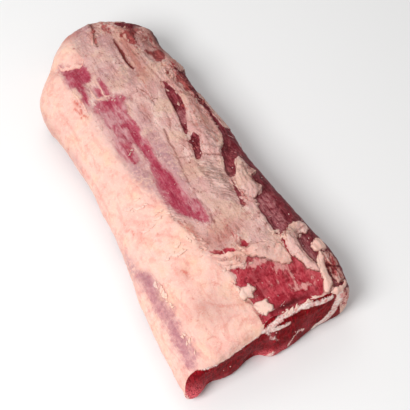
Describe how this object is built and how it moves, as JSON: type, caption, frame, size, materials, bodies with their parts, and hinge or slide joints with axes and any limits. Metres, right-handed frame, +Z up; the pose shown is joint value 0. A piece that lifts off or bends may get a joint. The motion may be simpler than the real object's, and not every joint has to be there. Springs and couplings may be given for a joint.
{
  "type": "beef rib roast",
  "caption": "Whole raw beef rib roast, boned and untied, with a smooth fat cap along one side, trimmed lean and silver skin on top, and one broad cut end.",
  "frame": {"origin": "middle of the outline, on the surface that the meat lies on", "axes": "+Y from the broad cut end to the narrow end, +Z up, +X from the fat cap towards the trimmed lean side"},
  "size_m": [0.2148, 0.458, 0.089],
  "materials": {
    "raw_beef": "moist raw meat with fat, satin to glossy"
  },
  "bodies": {
    "root": {"rib_roast": "raw_beef"}
  },
  "joints": []
}
